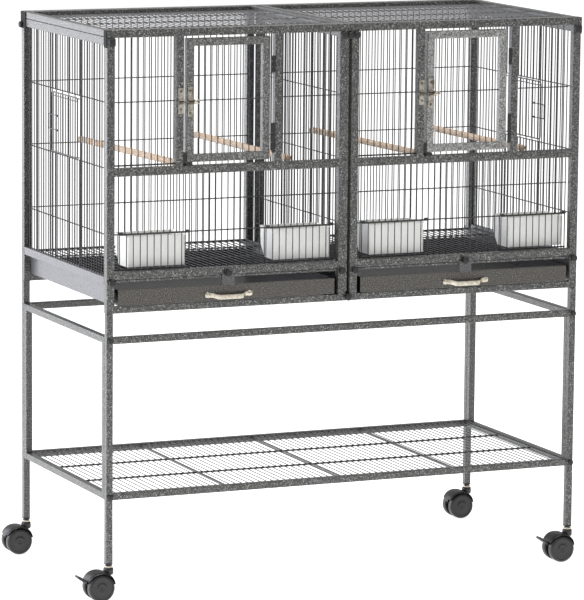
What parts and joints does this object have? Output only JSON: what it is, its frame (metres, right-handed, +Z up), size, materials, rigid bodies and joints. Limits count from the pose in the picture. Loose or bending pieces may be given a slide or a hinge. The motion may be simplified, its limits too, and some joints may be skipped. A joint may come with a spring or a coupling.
{
  "type": "bird cage on stand",
  "caption": "Wide divided wire bird cage on a rolling stand with open wire shelf, access doors, slide-out trays and grilles, feeder cups, perches and casters.",
  "frame": {"origin": "bottom middle of the overall box, on the floor; the cage itself stands 26 mm to the right of it because all the casters trail to the left", "axes": "+X to the right along the front, +Y to the rear, +Z up"},
  "size_m": [1.0068, 0.4798, 1.038],
  "materials": {
    "hammertone": "dark grey hammertone powder coat",
    "tray_brown": "brown-grey hammertone powder coat",
    "nickel": "warm nickel plate",
    "black_plastic": "black moulded plastic",
    "white_plastic": "off-white moulded plastic",
    "wood": "pale natural hardwood"
  },
  "bodies": {
    "cage": {"centre_runner": "hammertone", "door_hinge_left": "black_plastic", "door_hinge_right": "black_plastic", "feeder_left_a": "white_plastic", "feeder_left_b": "white_plastic", "feeder_right_a": "white_plastic", "feeder_right_b": "white_plastic", "front_frame": "hammertone", "front_stretcher": "hammertone", "front_wires_left": "hammertone", "front_wires_right": "hammertone", "latch_keeper_left": "nickel", "latch_keeper_right": "nickel", "leg_front_left": "hammertone", "leg_front_right": "hammertone", "leg_rear_left": "hammertone", "leg_rear_right": "hammertone", "perch_left_a": "wood", "perch_left_b": "wood", "perch_right_a": "wood", "perch_right_b": "wood", "rear_panel": "hammertone", "rear_stretcher": "hammertone", "roof_left": "hammertone", "roof_right": "hammertone", "shelf": "hammertone", "side_frame_left": "hammertone", "side_frame_right": "hammertone", "side_panel_left": "hammertone", "side_panel_right": "hammertone"},
    "door_left": {"door_left": "hammertone", "door_latch_left": "nickel"},
    "bolt_left": {"door_bolt_left": "nickel"},
    "grille_left": {"floor_grille_left": "hammertone"},
    "tray_left": {"tray_left": "tray_brown", "tray_handle_left": "nickel"},
    "gate_left_a": {"feeder_gate_left_a": "hammertone"},
    "gate_left_b": {"feeder_gate_left_b": "hammertone"},
    "door_right": {"door_right": "hammertone", "door_latch_right": "nickel"},
    "bolt_right": {"door_bolt_right": "nickel"},
    "grille_right": {"floor_grille_right": "hammertone"},
    "tray_right": {"tray_right": "tray_brown", "tray_handle_right": "nickel"},
    "gate_right_a": {"feeder_gate_right_a": "hammertone"},
    "gate_right_b": {"feeder_gate_right_b": "hammertone"},
    "nest_left": {"nest_door_left": "hammertone"},
    "nest_right": {"nest_door_right": "hammertone"},
    "divider": {"divider": "hammertone"},
    "swivel_front_left": {"caster_body_front_left": "black_plastic"},
    "wheel_front_left": {"caster_wheel_front_left": "black_plastic"},
    "brake_front_left": {"brake_lever_front_left": "black_plastic"},
    "swivel_front_right": {"caster_body_front_right": "black_plastic"},
    "wheel_front_right": {"caster_wheel_front_right": "black_plastic"},
    "brake_front_right": {"brake_lever_front_right": "black_plastic"},
    "swivel_rear_left": {"caster_body_rear_left": "black_plastic"},
    "wheel_rear_left": {"caster_wheel_rear_left": "black_plastic"},
    "swivel_rear_right": {"caster_body_rear_right": "black_plastic"},
    "wheel_rear_right": {"caster_wheel_rear_right": "black_plastic"}
  },
  "joints": [
    {"name": "door_left_hinge", "type": "hinge", "parent": "cage", "child": "door_left", "pos_m": [-0.12632, -0.22637, 0.907], "axis": [0, 0, 1], "range_deg": [0, 120]},
    {"name": "bolt_left_slide", "type": "slide", "parent": "door_left", "child": "bolt_left", "axis": [1, 0, 0], "range_m": [0, 0.014]},
    {"name": "grille_left_slide", "type": "slide", "parent": "cage", "child": "grille_left", "axis": [0, -1, 0], "range_m": [0, 0.36]},
    {"name": "tray_left_slide", "type": "slide", "parent": "cage", "child": "tray_left", "axis": [0, -1, 0], "range_m": [0, 0.36]},
    {"name": "gate_left_a_lift", "type": "slide", "parent": "cage", "child": "gate_left_a", "axis": [0, 0, 1], "range_m": [0, 0.095]},
    {"name": "gate_left_b_lift", "type": "slide", "parent": "cage", "child": "gate_left_b", "axis": [0, 0, 1], "range_m": [0, 0.095]},
    {"name": "door_right_hinge", "type": "hinge", "parent": "cage", "child": "door_right", "pos_m": [0.35292, -0.22637, 0.907], "axis": [0, 0, 1], "range_deg": [0, 120]},
    {"name": "bolt_right_slide", "type": "slide", "parent": "door_right", "child": "bolt_right", "axis": [1, 0, 0], "range_m": [0, 0.014]},
    {"name": "grille_right_slide", "type": "slide", "parent": "cage", "child": "grille_right", "axis": [0, -1, 0], "range_m": [0, 0.36]},
    {"name": "tray_right_slide", "type": "slide", "parent": "cage", "child": "tray_right", "axis": [0, -1, 0], "range_m": [0, 0.36]},
    {"name": "gate_right_a_lift", "type": "slide", "parent": "cage", "child": "gate_right_a", "axis": [0, 0, 1], "range_m": [0, 0.095]},
    {"name": "gate_right_b_lift", "type": "slide", "parent": "cage", "child": "gate_right_b", "axis": [0, 0, 1], "range_m": [0, 0.095]},
    {"name": "nest_left_hinge", "type": "hinge", "parent": "cage", "child": "nest_left", "pos_m": [-0.4467, -0.07187, 0.846], "axis": [0, 0, 1], "range_deg": [0, 110]},
    {"name": "nest_right_hinge", "type": "hinge", "parent": "cage", "child": "nest_right", "pos_m": [0.4993, 0.07212, 0.846], "axis": [0, 0, 1], "range_deg": [0, 110]},
    {"name": "divider_slide", "type": "slide", "parent": "cage", "child": "divider", "axis": [0, -1, 0], "range_m": [0, 0.4]},
    {"name": "swivel_front_left_turn", "type": "hinge", "parent": "cage", "child": "swivel_front_left", "pos_m": [-0.44245, -0.21863, 0.055], "axis": [0, 0, 1], "continuous": true},
    {"name": "wheel_front_left_spin", "type": "hinge", "parent": "swivel_front_left", "child": "wheel_front_left", "pos_m": [-0.46145, -0.21863, 0.025], "axis": [0, 1, 0], "continuous": true},
    {"name": "brake_front_left_press", "type": "hinge", "parent": "swivel_front_left", "child": "brake_front_left", "pos_m": [-0.49095, -0.21863, 0.039], "axis": [0, 1, 0], "range_deg": [-20, 0]},
    {"name": "swivel_front_right_turn", "type": "hinge", "parent": "cage", "child": "swivel_front_right", "pos_m": [0.49505, -0.21863, 0.055], "axis": [0, 0, 1], "continuous": true},
    {"name": "wheel_front_right_spin", "type": "hinge", "parent": "swivel_front_right", "child": "wheel_front_right", "pos_m": [0.47605, -0.21863, 0.025], "axis": [0, 1, 0], "continuous": true},
    {"name": "brake_front_right_press", "type": "hinge", "parent": "swivel_front_right", "child": "brake_front_right", "pos_m": [0.44655, -0.21863, 0.039], "axis": [0, 1, 0], "range_deg": [-20, 0]},
    {"name": "swivel_rear_left_turn", "type": "hinge", "parent": "cage", "child": "swivel_rear_left", "pos_m": [-0.44245, 0.21887, 0.055], "axis": [0, 0, 1], "continuous": true},
    {"name": "wheel_rear_left_spin", "type": "hinge", "parent": "swivel_rear_left", "child": "wheel_rear_left", "pos_m": [-0.46145, 0.21887, 0.025], "axis": [0, 1, 0], "continuous": true},
    {"name": "swivel_rear_right_turn", "type": "hinge", "parent": "cage", "child": "swivel_rear_right", "pos_m": [0.49505, 0.21887, 0.055], "axis": [0, 0, 1], "continuous": true},
    {"name": "wheel_rear_right_spin", "type": "hinge", "parent": "swivel_rear_right", "child": "wheel_rear_right", "pos_m": [0.47605, 0.21887, 0.025], "axis": [0, 1, 0], "continuous": true}
  ]
}
